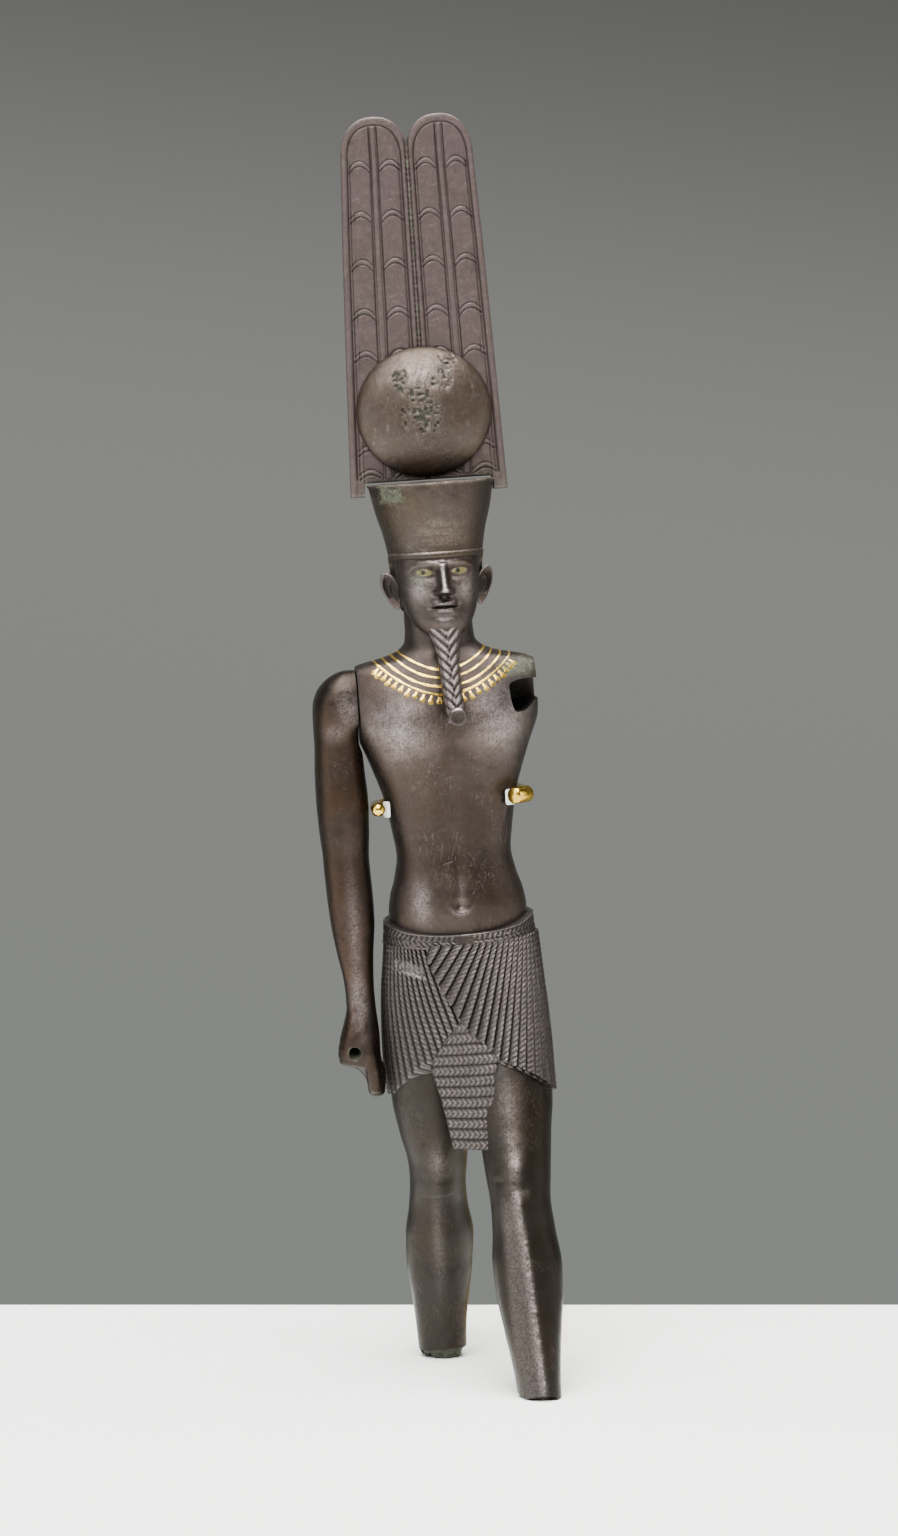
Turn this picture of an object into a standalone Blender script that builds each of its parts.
"""Striding figure of the god Amun-Ra, a small solid-cast bronze.

Tall double-plume crown with a sun disk on a flaring flat-topped cap, plaited
divine beard, bare torso, pleated kilt with a hanging tab.  The right arm is
its own casting with a bored fist; the left arm is lost at a flat joint with a
mortise, and both legs end in broken stumps.  A brass rod with a two-armed
cradle, padded at the ribs, holds the figure up from a narrow foot.

Metres, +Z up, the figure faces -Y, and its own right is -X.  Every table
below is in canon units of the figure, 1242 to the full height, measured along
and across the figure's own axis, which leans a little to its right.
"""

import math

import bmesh
import bpy
import numpy as np

# ------------------------------------------------------------ driving sizes
HEIGHT = 0.220  # stumps to plume tips, metres
UNIT = HEIGHT / 1242.0  # one canon unit
LEAN = math.radians(3.85)  # the whole figure leans to its own right
HIP = 430.0  # height of the hip, where the legs part
STRIDE = 185.0  # how far the left leg is in front at the floor
GAP = 0.0003 / UNIT  # clearance between neighbouring pieces
AXIS_X = 0.00666  # the figure's axis on the floor, from the middle of the base
AXIS_Y = -0.00678

ARM_JOINT = -86.0  # flat joint of the right arm
BREAK_PLANE = 92.0  # flat joint of the lost left arm

# torso: height, half width, front depth, back depth, squareness
TORSO = [
    (420, 66, 45, 45, 2.1),
    (450, 69, 46, 45, 2.1),
    (468, 66.5, 44.5, 43, 2.1),
    (484, 61.5, 42.5, 40, 2.2),
    (508, 57.3, 41, 37, 2.2),
    (530, 60, 42, 37, 2.2),
    (567, 67, 45, 39, 2.2),
    (592, 75, 48, 41, 2.3),
    (614, 83, 50, 43, 2.4),
    (640, 93, 50, 45, 2.6),
    (668, 99, 47, 45, 2.6),
    (690, 98, 41, 42, 2.4),
    (699, 86, 38, 40, 2.2),
    (707, 54, 36, 37, 2.0),
    (713, 41, 34, 35, 2.0),
    (720, 35.3, 33, 33, 2.0),
    (735, 34, 32, 32, 2.0),
    (752, 34, 28, 32, 2.0),
]

# head: height, half width, middle of the depth, front depth, back depth
HEAD = [
    (723, 12, -35, 9, 10),
    (730, 22, -31, 16, 22),
    (740, 30, -25, 24, 33),
    (752, 35.5, -18, 31, 42),
    (768, 39.5, -12, 37, 48),
    (786, 41.5, -9, 40, 51),
    (802, 42.5, -7, 41, 52),
    (820, 42.5, -6, 40, 50),
]
HEAD_X = 1.5

# cap: height, half width, front depth, back depth
CAP = [
    (745, 37, 40, 38),
    (766, 43, 45, 46),
    (786, 45.3, 48, 49),
    (799, 46.2, 50, 50),
    (814, 48.4, 51, 51),
    (829, 51.4, 53, 53),
    (845, 56, 56, 56),
    (863, 60, 59.5, 59.5),
    (877.5, 62.6, 62, 62),
]
CAP_FRONT, CAP_NAPE = 803.0, 748.0

# kilt: height, half distance between the thighs across, radius round each
KILT = [
    (205, 36, 34),
    (240, 36.5, 39),
    (266, 36.5, 43.5),
    (288, 36, 46.5),
    (318, 34, 49),
    (350, 32, 50),
    (380, 29, 51),
    (410, 26, 50.5),
    (443, 24, 49.5),
]
ROPES = 56  # twisted pleats round the kilt
FLAP_ROPES = 18  # pleats in the panel that wraps over the front
BELT_FRONT, BELT_SIDE = 430.0, 444.0
BELT_DEEP_FRONT, BELT_DEEP_SIDE = 14.0, 23.0

# legs: height, middle across, half width, middle in depth, front, back
RIGHT_LEG = [
    (-12, -44, 23, 5, 20, 22),
    (30, -43.7, 24.9, 6, 22, 27),
    (67, -42.3, 28.9, 6, 24, 34),
    (97, -41.3, 32.9, 6, 26, 40),
    (127, -39.3, 33.9, 5, 28, 41),
    (157, -38.8, 29.4, 4, 29, 32),
    (178, -38, 28, 2, 33, 29),
    (200, -36.8, 29.5, 1, 35, 31),
    (232, -37.5, 35.7, 0, 38, 37),
    (266, -37.5, 41, 0, 41, 41),
    (330, -35, 43, 0, 43, 43),
    (400, -30, 40, 0, 43, 43),
]
LEFT_LEG = [
    (-14, 33, 19.5, 3, 22, 22),
    (20, 33, 22.5, 3, 24, 25),
    (60, 33, 28, 3, 26, 33),
    (91, 33.5, 32.5, 3, 28, 39),
    (118, 34, 33.6, 2, 30, 40),
    (145, 34, 30.8, 1, 31, 33),
    (172, 33.5, 29.4, 0, 35, 30),
    (200, 34, 32, 0, 37, 33),
    (236, 35, 35.5, 0, 40, 38),
    (268, 35, 40.5, 0, 42, 41),
    (330, 33, 43, 0, 43, 43),
    (400, 30, 40, 0, 43, 43),
]

# right arm: height, middle across, half width, front depth, back depth
ARM = [
    (271, -94, 4.5, 4, 4),
    (275, -93.5, 8, 7, 7),
    (287, -93.5, 9.5, 9, 9),
    (300, -98, 14, 12, 13),
    (307, -107.5, 21, 17, 20),
    (316, -108.5, 21.2, 19, 22),
    (331, -106.8, 19.8, 19, 22),
    (346, -104.8, 17, 17, 19),
    (361, -103.5, 14.6, 15, 16),
    (375, -103.7, 14.4, 14, 15),
    (388, -104, 15, 14.5, 15.5),
    (417, -105.5, 18.5, 17, 18),
    (447, -106, 22, 20, 21),
    (477, -107, 23, 22, 22),
    (507, -108, 23, 22, 22),
    (537, -107.9, 25, 24, 24),
    (566, -107.9, 26, 26, 26),
    (596, -108.5, 25, 27, 27),
    (626, -108.3, 23.5, 29, 29),
    (645, -108, 23.8, 32, 32),
    (662, -107, 24, 33, 33),
    (676, -104, 22.5, 31, 31),
    (686, -100, 18, 26, 26),
    (693, -96, 10.5, 18, 18),
    (695.5, -93, 6, 12, 12),
]
ARM_REACH = -14.0  # how far the hand hangs in front of the shoulder
FIST_BORE = (-114.0, 317.5, 6.5)  # across, height, radius

# plumes
PLATE_FOOT, PLATE_SHOULDER, PLATE_TIP = 866.0, 1200.0, 1243.0
PLATE_DEEP = 9.5
PLATE_Y = 5.0
PLATE_WIDTH = [(866, 78.5), (1010, 73.8), (1115, 70), (1200, 66)]
DISK_Z, DISK_RX, DISK_RZ, DISK_DOME = 947.5, 68.0, 65.0, 24.0

# brass stand
ROD_X, ROD_Y, ROD_R = 54.0, 78.0, 7.0
ARM_R = 5.5
CRADLE_Z = 560.0
FOOT_DEEP = 30.0

BRONZE = (0.062, 0.049, 0.040)
PLUME_BRONZE = (0.150, 0.115, 0.112)
ARM_BRONZE = (0.072, 0.042, 0.026)
BRASS = (0.72, 0.50, 0.18)
FELT = (0.80, 0.80, 0.76)


# ------------------------------------------------------------ curves of size
def smooth(table, column, at):
    """A column of a table against its first column, by a monotone cubic."""
    xs = np.array([row[0] for row in table], float)
    ys = np.array([row[column] for row in table], float)
    at = np.clip(np.asarray(at, float), xs[0], xs[-1])
    step = np.diff(xs)
    rise = np.diff(ys) / step
    slope = np.zeros(len(xs))
    slope[0], slope[-1] = rise[0], rise[-1]
    for i in range(1, len(xs) - 1):
        if rise[i - 1] * rise[i] > 0:
            a = 2 * step[i] + step[i - 1]
            b = step[i] + 2 * step[i - 1]
            slope[i] = (a + b) / (a / rise[i - 1] + b / rise[i])
    i = np.clip(np.searchsorted(xs, at) - 1, 0, len(xs) - 2)
    t = (at - xs[i]) / step[i]
    return (
        (2 * t**3 - 3 * t**2 + 1) * ys[i]
        + (t**3 - 2 * t**2 + t) * step[i] * slope[i]
        + (3 * t**2 - 2 * t**3) * ys[i + 1]
        + (t**3 - t**2) * step[i] * slope[i + 1]
    )


def bump(x, z, cx, cz, sx, sz):
    return np.exp(-(((x - cx) / sx) ** 2) - ((z - cz) / sz) ** 2)


def oval(t, half, front, back, square=2.0):
    """Points of a superellipse; the front is at -Y."""
    c, s = np.cos(t), np.sin(t)
    x = half * np.sign(c) * np.abs(c) ** (2.0 / square)
    y = np.where(s > 0, back, front) * np.sign(s) * np.abs(s) ** (2.0 / square)
    return x, y


# ------------------------------------------------------------ body surfaces
def torso_point(t, z):
    x, y = oval(
        t,
        smooth(TORSO, 1, z),
        smooth(TORSO, 2, z),
        smooth(TORSO, 3, z),
        smooth(TORSO, 4, z),
    )
    front = np.clip(-np.sin(t), 0, 1) ** 0.7
    back = np.clip(np.sin(t), 0, 1) ** 0.7
    # breasts with a firm lower edge, breastbone, belly and its groove
    for side in (-41.0, 42.0):
        lower = 1 / (1 + np.exp(-(z - 612 - 0.0045 * (x - side) ** 2) / 3.5))
        y = y - front * 5.5 * lower * bump(x, z, side, 634, 31, 34)
    y = y + front * 3.0 * bump(x, z, 1, 640, 8, 34)
    y = y - front * 4.0 * bump(x, z, 0, 470, 36, 26)
    y = y + front * 2.2 * bump(x, 0 * z, 0, 0, 4.5, 1) * (
        1 / (1 + np.exp(-(z - 458) / 3)) - 1 / (1 + np.exp(-(z - 596) / 6))
    )
    # shoulder blades and the furrow of the spine
    for side in (-42.0, 42.0):
        y = y + back * 4.0 * bump(x, z, side, 640, 26, 34)
    y = y - back * 4.0 * bump(x, 0 * z, 0, 0, 9, 1) * (
        1 / (1 + np.exp(-(z - 470) / 12)) - 1 / (1 + np.exp(-(z - 680) / 8))
    )
    return x, y


def head_point(t, z):
    x, y = oval(t, smooth(HEAD, 1, z), smooth(HEAD, 3, z), smooth(HEAD, 4, z), 2.15)
    return x + HEAD_X, y + smooth(HEAD, 2, z)


def cap_low(t):
    """Lower edge of the cap: level across the brow, down behind the ears."""
    behind = 1 / (1 + np.exp(-(np.sin(t) - 0.18) / 0.07))
    return CAP_FRONT + (CAP_NAPE - CAP_FRONT) * behind


def cap_point(t, z):
    x, y = oval(t, smooth(CAP, 1, z), smooth(CAP, 2, z), smooth(CAP, 3, z), 2.05)
    tuck = 6.0 * np.clip((815 - z) / 60, 0, 1)
    return x + HEAD_X, y - tuck


def kilt_point(t, z, out=0.0):
    """The kilt wraps both thighs: a rounded hull of two circles, one for each,
    that part and slant forward on the left as the leg strides."""
    dx = smooth(KILT, 1, z)
    dy = -0.5 * STRIDE * np.clip(1 - z / HIP, 0, 1)
    r = smooth(KILT, 2, z) + out
    c, s = np.cos(t), np.sin(t)
    lean = np.tanh(2.0 * (c * dx + s * dy) / np.hypot(dx, dy)) / math.tanh(2.0)
    shift = -2.5 * np.clip((HIP - z) / 160, 0, 1)
    return shift + lean * dx + r * c, dy + lean * dy + r * s


def kilt_front_angle(x, z):
    """The angle at which the kilt's front has this x."""
    t = np.linspace(math.pi, 2 * math.pi, 241)
    out = np.empty(len(x))
    for i in range(len(x)):
        xs, _ = kilt_point(t, np.full(len(t), z[i]))
        out[i] = np.interp(x[i], np.maximum.accumulate(xs), t)
    return out


def belt_top(t):
    """Height of the belt's upper edge round the body."""
    front = np.clip(-np.sin(t), 0, 1) ** 1.6
    back = np.clip(np.sin(t), 0, 1) ** 1.6
    return BELT_SIDE + (BELT_FRONT - BELT_SIDE) * front + 8 * back


def belt_low(t):
    front = np.clip(-np.sin(t), 0, 1) ** 1.2
    return belt_top(t) - (BELT_DEEP_SIDE + (BELT_DEEP_FRONT - BELT_DEEP_SIDE) * front)


def hem(t):
    """Height of the kilt's hem: low at the sides, rising to the middle."""
    x, _ = kilt_point(t, np.full(np.shape(t), 290.0))
    right = 273 + 33 * np.clip((x + 78) / 36, 0, 1) ** 0.75
    left = 272 + 38 * np.clip((80 - x) / 58, 0, 1) ** 0.8
    front = np.minimum(np.where(x < -36, right, 400), np.where(x > 16, left, 400))
    front = np.where(front > 390, 306, front)
    facing = 1 / (1 + np.exp((np.sin(t) + 0.05) / 0.05))
    return 270 * (1 - facing) + front * facing


# ------------------------------------------------------------ mesh makers
MAIN = bpy.data.collections.new("amun_ra_statue")
CUTTERS = bpy.data.collections.new("cutters")


def material(name, colour, rough, metal):
    m = bpy.data.materials.new(name)
    m.use_nodes = True
    shader = m.node_tree.nodes["Principled BSDF"]
    shader.inputs["Base Color"].default_value = (*colour, 1)
    shader.inputs["Roughness"].default_value = rough
    shader.inputs["Metallic"].default_value = metal
    m.diffuse_color = (*colour, 1)
    return m


def add(name, mesh, parent, mat=None, helper=False):
    obj = bpy.data.objects.new(name, mesh)
    (CUTTERS if helper else MAIN).objects.link(obj)
    obj.parent = parent
    if mat:
        mesh.materials.append(mat)
    if helper:
        obj.hide_render = True
        obj.display_type = "WIRE"
    mesh.shade_smooth()
    mesh.set_sharp_from_angle(angle=math.radians(40))
    return obj


def mesh_of(name, points, faces):
    mesh = bpy.data.meshes.new(name)
    mesh.from_pydata([tuple(p * UNIT for p in q) for q in points], [], faces)
    mesh.validate()
    work = bmesh.new()
    work.from_mesh(mesh)
    work.normal_update()
    bmesh.ops.recalc_face_normals(work, faces=work.faces)
    work.to_mesh(mesh)
    work.free()
    return mesh


def tube(name, rings):
    """Closed body through rings of points, low to high, with fanned ends."""
    rings = np.asarray(rings, float)
    m, n, _ = rings.shape
    points = list(rings.reshape(-1, 3))
    faces = []
    for i in range(m - 1):
        for j in range(n):
            k = (j + 1) % n
            faces.append((i * n + j, i * n + k, (i + 1) * n + k, (i + 1) * n + j))
    for i, turn in ((0, -1), (m - 1, 1)):
        middle = len(points)
        points.append(rings[i].mean(0))
        for j in range(n):
            a, b = i * n + j, i * n + (j + 1) % n
            faces.append((a, b, middle) if turn > 0 else (b, a, middle))
    return mesh_of(name, points, faces)


def sheet(name, front, back):
    """Closed plate between two grids of points of one shape."""
    front, back = np.asarray(front, float), np.asarray(back, float)
    m, n, _ = front.shape
    points = list(front.reshape(-1, 3)) + list(back.reshape(-1, 3))
    half = m * n
    faces = []
    for i in range(m - 1):
        for j in range(n - 1):
            a, b, c, d = i * n + j, i * n + j + 1, (i + 1) * n + j + 1, (i + 1) * n + j
            faces.append((a, b, c, d))
            faces.append((half + d, half + c, half + b, half + a))
    rim = (
        [j for j in range(n)]
        + [i * n + n - 1 for i in range(1, m)]
        + [(m - 1) * n + j for j in range(n - 2, -1, -1)]
        + [i * n for i in range(m - 2, 0, -1)]
    )
    for a, b in zip(rim, rim[1:] + rim[:1]):
        faces.append((b, a, half + a, half + b))
    return mesh_of(name, points, faces)


def grid_rings(point, heights, n, twist=0.0):
    t = np.arange(n) * 2 * math.pi / n + twist
    rings = []
    for z in heights:
        zs = np.full(n, float(z))
        x, y = point(t, zs)
        rings.append(np.stack([x, y, zs], 1))
    return rings


def box(name, low, high, parent, mat=None):
    mesh = bpy.data.meshes.new(name)
    work = bmesh.new()
    bmesh.ops.create_cube(work, size=1.0)
    for v in work.verts:
        for k in range(3):
            v.co[k] = UNIT * ((low[k] + high[k]) / 2 + v.co[k] * (high[k] - low[k]))
    work.to_mesh(mesh)
    work.free()
    return add(name, mesh, parent, mat, helper=mat is None)


def ball(name, centre, radii, parent, across=12, rings=8):
    mesh = bpy.data.meshes.new(name)
    work = bmesh.new()
    bmesh.ops.create_uvsphere(work, u_segments=across, v_segments=rings, radius=1.0)
    for v in work.verts:
        for k in range(3):
            v.co[k] = UNIT * (centre[k] + v.co[k] * radii[k])
    work.to_mesh(mesh)
    work.free()
    return add(name, mesh, parent, helper=True)


def cylinder(name, start, end, r1, r2, parent, sides=16):
    mesh = bpy.data.meshes.new(name)
    work = bmesh.new()
    a, b = np.array(start, float), np.array(end, float)
    length = float(np.linalg.norm(b - a))
    bmesh.ops.create_cone(
        work, cap_ends=True, segments=sides, radius1=r1, radius2=r2, depth=length
    )
    w = (b - a) / length
    side = np.cross(w, [0, 1, 0] if abs(w[1]) < 0.9 else [1, 0, 0])
    side /= np.linalg.norm(side)
    other = np.cross(w, side)
    for v in work.verts:
        p = (a + b) / 2 + side * v.co[0] + other * v.co[1] + w * v.co[2]
        v.co = [UNIT * c for c in p]
    work.to_mesh(mesh)
    work.free()
    return add(name, mesh, parent, helper=True)


def wire(name, key, radius, count, sides=2):
    """A bent rod through a few key points, as a closed mesh."""
    key = np.array(key, float)
    along = np.concatenate([[0], np.cumsum(np.linalg.norm(np.diff(key, axis=0), axis=1))])
    table = [(along[i], *key[i]) for i in range(len(key))]
    s = np.linspace(0, along[-1], count)
    path = np.stack([smooth(table, k, s) for k in (1, 2, 3)], 1)
    curve = bpy.data.curves.new(name, "CURVE")
    curve.dimensions = "3D"
    curve.bevel_depth = radius * UNIT
    curve.bevel_resolution = sides
    curve.use_fill_caps = True
    spline = curve.splines.new("POLY")
    spline.points.add(count - 1)
    for i in range(count):
        spline.points[i].co = (*(path[i] * UNIT), 1)
    guide = bpy.data.objects.new(name + "_path", curve)
    CUTTERS.objects.link(guide)
    bpy.context.view_layer.update()
    graph = bpy.context.evaluated_depsgraph_get()
    mesh = bpy.data.meshes.new_from_object(guide.evaluated_get(graph))
    bpy.data.objects.remove(guide)
    work = bmesh.new()
    work.from_mesh(mesh)
    bmesh.ops.remove_doubles(work, verts=work.verts, dist=1e-6)
    bmesh.ops.recalc_face_normals(work, faces=work.faces)
    work.to_mesh(mesh)
    work.free()
    mesh.name = name
    return mesh


def join(target, tools, operation="UNION"):
    for tool in tools:
        m = target.modifiers.new(tool.name, "BOOLEAN")
        m.operation = operation
        m.object = tool
        m.solver = "EXACT"


# ------------------------------------------------------------ pieces
def torso_mesh(name, columns, heights):
    return tube(name, grid_rings(torso_point, heights, columns, math.pi / columns))


def cap_mesh(name, columns, rows):
    t = np.arange(columns) * 2 * math.pi / columns
    low = cap_low(t)
    rings = []
    for v in np.linspace(0, 1, rows):
        z = low + (CAP[-1][0] - low) * v
        x, y = cap_point(t, z)
        rings.append(np.stack([x, y, z], 1))
    return tube(name, rings)


def kilt_even(n):
    """Angles that space n points evenly round the kilt."""
    t = np.linspace(0, 2 * math.pi, 721)
    x, y = kilt_point(t, np.full(len(t), 335.0))
    along = np.concatenate([[0], np.cumsum(np.hypot(np.diff(x), np.diff(y)))])
    return np.interp(np.arange(n) * along[-1] / n, along, t)


def kilt_mesh(name, per_rope, rows, relief):
    """The wrap of the kilt, fluted with its rope pleats."""
    n = ROPES * per_rope
    t = kilt_even(n)
    flute = relief * (np.abs(np.sin(math.pi * np.arange(n) / per_rope)) - 0.5)
    low, high = hem(t), belt_top(t) - 5
    rings = []
    for v in np.linspace(0, 1, rows):
        z = low + (high - low) * v
        x, y = kilt_point(t, z, flute)
        rings.append(np.stack([x, y, z], 1))
    return tube(name, rings)


def flap_edge(u):
    """Lower end of each pleat of the wrapped panel, from the free edge at the
    middle, u = 0, down that edge, then along the hem to the side, u = 1."""
    corner = [
        (0.00, -37, 410),
        (0.16, -27, 381),
        (0.30, -17, 358),
        (0.46, -2, 337),
        (0.58, 15, 322),
        (0.66, 22.5, 311),
        (0.78, 42, 302),
        (0.90, 62, 289),
        (1.00, 76, 274),
    ]
    return smooth(corner, 1, u), smooth(corner, 2, u)


def flap_mesh(name, per_rope, rows, relief, deep=8.0):
    n = FLAP_ROPES * per_rope + 1
    u = np.linspace(0, 1, n)
    top_x = -33 + (75 - -33) * u**1.05
    end_x, end_z = flap_edge(u)
    flute = relief * (np.abs(np.sin(math.pi * np.arange(n) / per_rope)) - 0.5)
    top_t = kilt_front_angle(top_x, np.full(n, 420.0))
    top_z = belt_low(top_t) + 4
    front, back = [], []
    for v in np.linspace(0, 1, rows):
        x = top_x + (end_x - top_x) * v
        z = top_z + (end_z - top_z) * v
        t = kilt_front_angle(x, z)
        px, py = kilt_point(t, z, flute + 3.5)
        front.append(np.stack([px, py, z], 1))
        qx, qy = kilt_point(t, z, -deep)
        back.append(np.stack([qx, qy, z], 1))
    return sheet(name, front, back)


def belt_mesh(name, columns, out=2.6, deep=12.0):
    t = kilt_even(columns)
    top, low = belt_top(t), belt_low(t)
    rings = []
    for v, o in ((0.0, -deep), (0.0, out), (1.0, out), (1.0, -deep)):
        z = low + (top - low) * v
        x, y = kilt_point(t, z, o)
        rings.append(np.stack([x, y, z], 1))
    return tube(name, rings)


TAB_TOP, TAB_LOW, TAB_ROWS = 346.0, 224.0, 12


def tab_mesh(name, columns, per_row, relief, deep=11.0):
    """The hanging tab between the panels, of level pleats."""
    rows = TAB_ROWS * per_row + 1
    left = [(224, -25.5), (270, -33.5), (306, -41), (326, -30), (346, -11)]
    right = [(224, 10), (260, 14), (299, 19), (311, 24), (323, 19), (346, -6)]
    front, back = [], []
    for i, z in enumerate(np.linspace(TAB_LOW, TAB_TOP, rows)):
        bulge = relief * (abs(math.sin(math.pi * i / per_row)) - 0.5)
        x = np.linspace(smooth(left, 1, z), smooth(right, 1, z), columns)
        zs = z + 0.06 * (x - x.mean())
        t = kilt_front_angle(x, zs)
        px, py = kilt_point(t, zs, bulge + 2.0)
        front.append(np.stack([x, py, zs], 1))
        back.append(np.stack([x, py + deep, zs], 1))
    return sheet(name, front, back)


def leg_rings(table, stride, columns, heights):
    t = np.arange(columns) * 2 * math.pi / columns
    rings = []
    for z in heights:
        x, y = oval(t, smooth(table, 2, z), smooth(table, 4, z), smooth(table, 5, z), 2.1)
        x = x + smooth(table, 1, z)
        y = y + smooth(table, 3, z) - (STRIDE * (1 - z / HIP) if stride else 0.0)
        rings.append(np.stack([x, y, np.full(columns, float(z))], 1))
    return rings


def beard_rings(columns, count):
    """Broad under the chin, slender and plaited, curling out at its end."""
    t = np.arange(columns) * 2 * math.pi / columns
    rings = []
    for v in np.linspace(0, 1, count):
        z = 640 + (737 - 640) * v
        half = 9.0 + 3.0 * v + 8.0 * np.clip((v - 0.62) / 0.38, 0, 1) ** 1.6
        y0 = -72 + 36 * v**1.1
        x, y = oval(t, half, 8.5, 9.0, 2.4)
        rings.append(np.stack([x + 5.5 - 3.5 * v, y + y0, np.full(columns, z)], 1))
    return rings


def plate_grid(columns, rows, groove):
    """Front face of the two plumes: side by side, each with a round top."""
    s = np.linspace(-1, 1, columns)
    grid = []
    for v in np.linspace(0, 1, rows):
        width = np.interp(PLATE_FOOT + (PLATE_SHOULDER - PLATE_FOOT) * v, *zip(*PLATE_WIDTH))
        x = s * width
        u = np.clip(np.abs((np.abs(s) * 66 - 32.5) / 33.6), 0, 1)
        top = PLATE_SHOULDER + (PLATE_TIP - PLATE_SHOULDER) * (1 - u**2.3) ** (1 / 2.3)
        z = PLATE_FOOT + (top - PLATE_FOOT) * v
        sunk = groove * np.exp(-((x / 2.5) ** 2))
        grid.append(np.stack([x, np.full(columns, PLATE_Y - PLATE_DEEP / 2) + sunk, z], 1))
    return np.array(grid)


def main():
    for obj in list(bpy.data.objects):
        bpy.data.objects.remove(obj)
    bpy.context.scene.collection.children.link(MAIN)
    bpy.context.scene.collection.children.link(CUTTERS)
    bronze = material("dark bronze", BRONZE, 0.38, 0.85)
    plume = material("plume bronze", PLUME_BRONZE, 0.42, 0.8)
    arm_bronze = material("arm bronze", ARM_BRONZE, 0.36, 0.85)
    brass = material("brass", BRASS, 0.25, 1.0)
    felt = material("white felt", FELT, 0.9, 0.0)

    # the base stands level, the figure leans on it
    base = bpy.data.objects.new("base_frame", None)
    axis = bpy.data.objects.new("figure_axis", None)
    for empty in (base, axis):
        MAIN.objects.link(empty)
    axis.parent = base
    axis.location = (AXIS_X, AXIS_Y, 0.0)
    axis.rotation_euler = (0.0, -LEAN, 0.0)

    # ---- figure
    heights = [420, 450, 468, 486, 508, 534, 560, 584, 604, 616, 628, 646, 668]
    heights += [688, 696, 702, 708, 713, 720, 750]
    figure = add("figure", torso_mesh("figure", 26, heights), axis, bronze)
    parts = []

    def part(name, mesh):
        parts.append(add(name, mesh, axis, helper=True))
        return parts[-1]

    levels = [723, 728, 735, 745, 758, 773, 790, 812]
    part("head_form", tube("head_form", grid_rings(head_point, levels, 22)))
    part("cap_form", cap_mesh("cap_form", 26, 6))
    part("beard_form", tube("beard_form", beard_rings(8, 6)))
    parts.append(cylinder("beard_curl", (6, -62, 648), (6, -86, 646), 8.5, 7.5, axis, 10))
    nose = []
    for z, half, y in ((760, 5.5, -57.0), (765, 8.0, -60.0), (772, 5.5, -58.0), (792, 4.0, -51.5)):
        nose.append([(HEAD_X - half, -42, z), (HEAD_X, y, z), (HEAD_X + half, -42, z), (HEAD_X, -30, z)])
    part("nose_form", tube("nose_form", nose))
    for side, name in ((-1, "right_ear"), (1, "left_ear")):
        parts.append(ball(name, (HEAD_X + side * 48, -3, 776), (9, 5, 17), axis, 10, 7))
    part("kilt_form", kilt_mesh("kilt_form", 2, 5, 2.2))
    part("panel_form", flap_mesh("panel_form", 2, 5, 2.2))
    part("belt_form", belt_mesh("belt_form", 30))
    part("tab_form", tab_mesh("tab_form", 4, 2, 1.6))
    leg_z = [-12, 10, 35, 60, 82, 100, 120, 140, 158, 176, 200, 232, 270, 340]
    part("right_leg", tube("right_leg", leg_rings(RIGHT_LEG, False, 16, leg_z)))
    part("left_leg", tube("left_leg", leg_rings(LEFT_LEG, True, 16, leg_z)))
    join(figure, parts)

    cuts = [
        box("arm_joint_cut", (-160, -90, 560), (ARM_JOINT, 90, 730), axis),
        box("break_cut", (BREAK_PLANE, -90, 560), (160, 90, 730), axis),
        box("mortise_cut", (66, -90, 647), (130, 8, 677), axis),
    ]
    # the broken ends: the right stump slopes up to the front, both stand on
    # the floor, and a corner is gone from the left one
    floor_cut = box("floor_cut", (-200, -400, -200), (200, 200, 0), base)
    right_break = box("right_break", (-120, -120, -60), (20, 0, 0), axis)
    right_break.location = (0.0, -4 * UNIT, 0.0)
    right_break.rotation_euler = (math.radians(-43), math.radians(2), 0.0)
    left_break = box("left_break", (-60, -60, -60), (0, 60, 0), axis)
    left_break.location = (22 * UNIT, -STRIDE * UNIT, -1.0 * UNIT)
    left_break.rotation_euler = (0.0, math.radians(26), 0.0)
    cuts += [floor_cut, right_break, left_break]
    join(figure, cuts, "DIFFERENCE")

    # ---- plumes with the sun disk, slotted over the cap
    front = plate_grid(25, 9, 2.2)
    back = front.copy()
    back[:, :, 1] = 2 * PLATE_Y - back[:, :, 1]
    plumes = add("plumes_and_disk", sheet("plumes_and_disk", front, back), axis, plume)
    disk = ball(
        "disk_form",
        (0, PLATE_Y - 4, DISK_Z),
        (DISK_RX, DISK_DOME + 1, DISK_RZ),
        axis,
        28,
        14,
    )
    disk_back = box("disk_back", (-100, PLATE_Y, 840), (100, 100, 1040), axis)
    join(disk, [disk_back], "DIFFERENCE")
    join(plumes, [disk])
    rim = CAP[-1]
    slot = add(
        "slot_cut",
        tube(
            "slot_cut",
            grid_rings(
                lambda t, z: tuple(
                    q * (1 + (GAP + 0.4) / 60.0) for q in cap_point(t, z)
                ),
                [840, 850, 863, 877.5],
                36,
            )
            + [
                np.stack(
                    [
                        HEAD_X + (rim[1] + GAP + 0.6) * np.cos(np.arange(36) * math.pi / 18),
                        (rim[2] + GAP + 0.6) * np.sin(np.arange(36) * math.pi / 18),
                        np.full(36, rim[0] + GAP),
                    ],
                    1,
                )
            ],
        ),
        axis,
        helper=True,
    )
    join(plumes, [slot], "DIFFERENCE")

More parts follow.
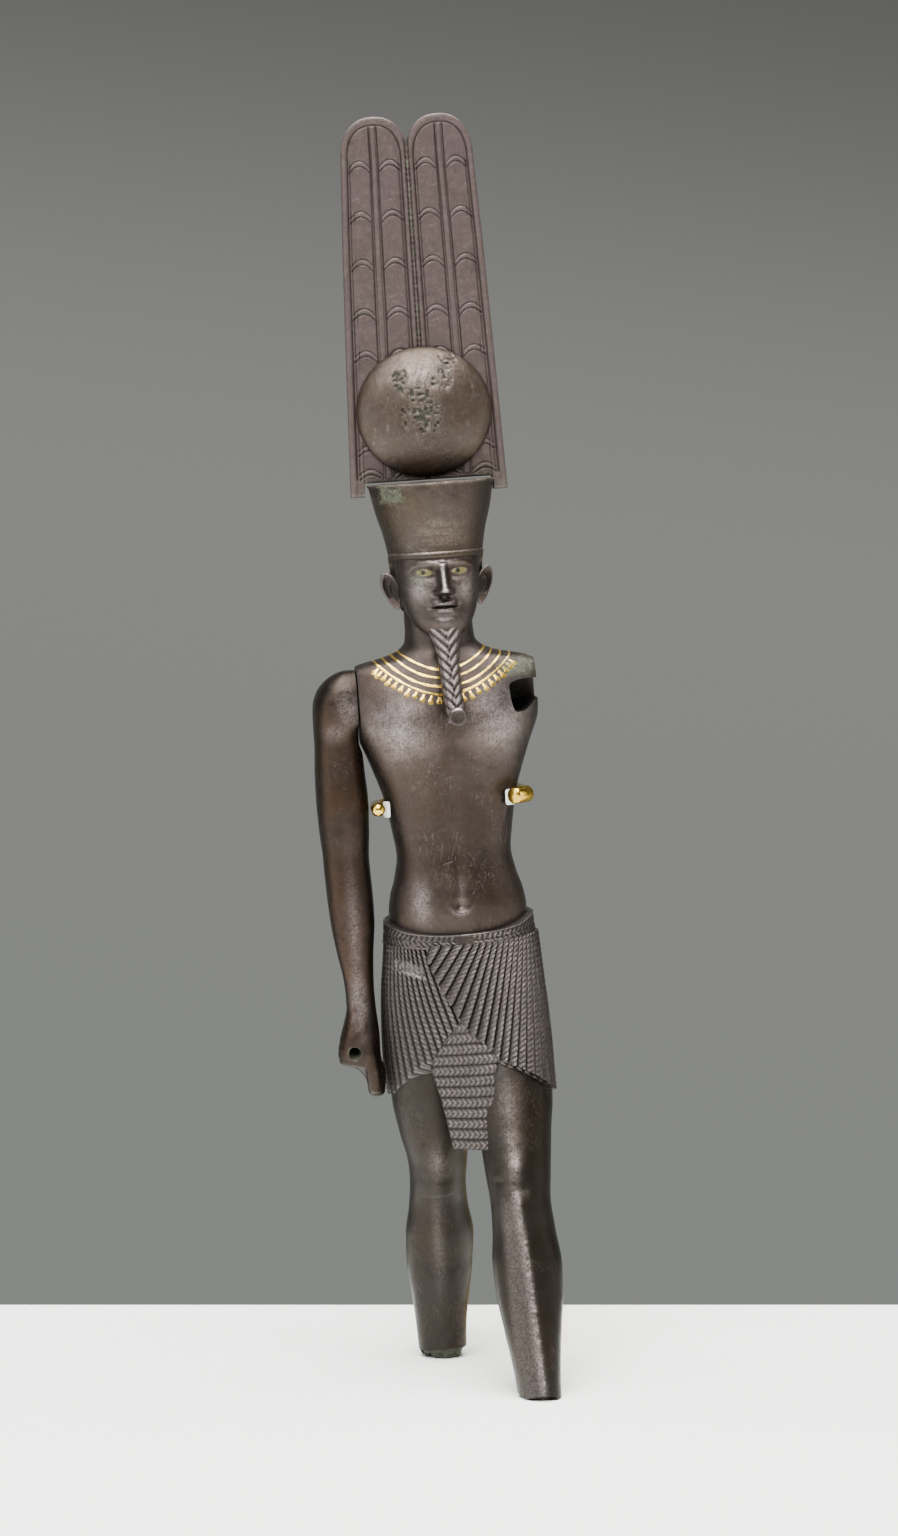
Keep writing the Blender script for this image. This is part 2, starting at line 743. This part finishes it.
    # ---- right arm with its bored fist
    t = np.arange(14) * 2 * math.pi / 14
    rings = []
    for z in [row[0] for row in ARM]:
        x, y = oval(t, smooth(ARM, 2, z), smooth(ARM, 3, z), smooth(ARM, 4, z), 2.2)
        reach = ARM_REACH * np.clip((620 - z) / 330, 0, 1) ** 1.3
        rings.append(np.stack([x + smooth(ARM, 1, z), y + reach, np.full(14, float(z))], 1))
    arm = add("right_arm", tube("right_arm", rings), axis, arm_bronze)
    joint = box("arm_flat_cut", (ARM_JOINT - GAP, -90, 606), (0, 90, 730), axis)
    bore = cylinder(
        "fist_bore",
        (FIST_BORE[0], -60, FIST_BORE[1]),
        (FIST_BORE[0], 60, FIST_BORE[1]),
        FIST_BORE[2],
        FIST_BORE[2],
        axis,
        12,
    )
    join(arm, [joint, bore], "DIFFERENCE")

    # ---- stand: rod with the two cradle arms, in a socket on the foot
    foot_top = FOOT_DEEP
    seat = (foot_top + GAP + 0.5 - ROD_X * math.sin(LEAN)) / math.cos(LEAN)
    stand = add(
        "stand_cradle",
        wire(
            "stand_cradle",
            [(ROD_X, ROD_Y, seat), (ROD_X, ROD_Y, 300), (ROD_X, ROD_Y, CRADLE_Z + 8)],
            ROD_R,
            3,
            3,
        ),
        axis,
        brass,
    )
    arms = []
    for name, count, key in (
        (
            "cradle_left",
            13,
            [
                (ROD_X, ROD_Y, CRADLE_Z + 1),
                (66, 66, CRADLE_Z + 1),
                (73.5, 42, CRADLE_Z + 2),
                (74.8, 14, CRADLE_Z + 2),
                (75.5, -10, CRADLE_Z + 2.5),
                (75, -29, CRADLE_Z + 2.5),
                (64, -40, CRADLE_Z + 2.5),
            ],
        ),
        (
            "cradle_right",
            15,
            [
                (ROD_X + 1, ROD_Y, CRADLE_Z - 2),
                (20, ROD_Y - 8, CRADLE_Z - 3),
                (-36, ROD_Y - 16, CRADLE_Z - 4),
                (-66, 42, CRADLE_Z - 4),
                (-74.5, 12, CRADLE_Z - 3),
                (-75, -10, CRADLE_Z - 3),
                (-74, -25, CRADLE_Z - 3),
            ],
        ),
    ):
        arms.append(add(name, wire(name, key, ARM_R, count, 1), axis, helper=True))
    z = CRADLE_Z + 2.5
    arms.append(cylinder("left_tip", (75.5, -29.5, z), (61, -43, z), 8.5, 8.5, axis, 12))
    arms.append(
        ball("right_tip", (-74, -26, CRADLE_Z - 3), (6.2, 7, 7.5), axis, 10, 8)
    )
    join(stand, arms)

    for name, centre, size, turn in (
        ("pad_left", (59.9, -28.0, 558), (19, 3.6, 20), 44.6),
        ("pad_right", (-64.4, -21.0, 556), (11, 3.6, 16), -59.8),
    ):
        half = [k / 2 for k in size]
        pad = box(name, [-k for k in half], half, axis, felt)
        pad.location = [k * UNIT for k in centre]
        pad.rotation_euler = (0.0, 0.0, math.radians(turn))

    foot = box("stand_foot", (-22, -118, 0), (22, 118, foot_top), base, brass)
    foot.location = (AXIS_X + 65.5 * UNIT, AXIS_Y + 162.5 * UNIT, 0.0)
    foot.rotation_euler = (0.0, 0.0, math.radians(-6.1))
    boss = cylinder("rod_boss", (ROD_X, ROD_Y, foot_top - 8), (ROD_X, ROD_Y, foot_top + 18), 13, 12, axis, 16)
    hole = cylinder(
        "rod_hole",
        (ROD_X, ROD_Y, seat - GAP),
        (ROD_X, ROD_Y, foot_top + 48),
        ROD_R + GAP,
        ROD_R + GAP,
        axis,
        16,
    )
    join(foot, [boss])
    join(foot, [hole], "DIFFERENCE")


main()
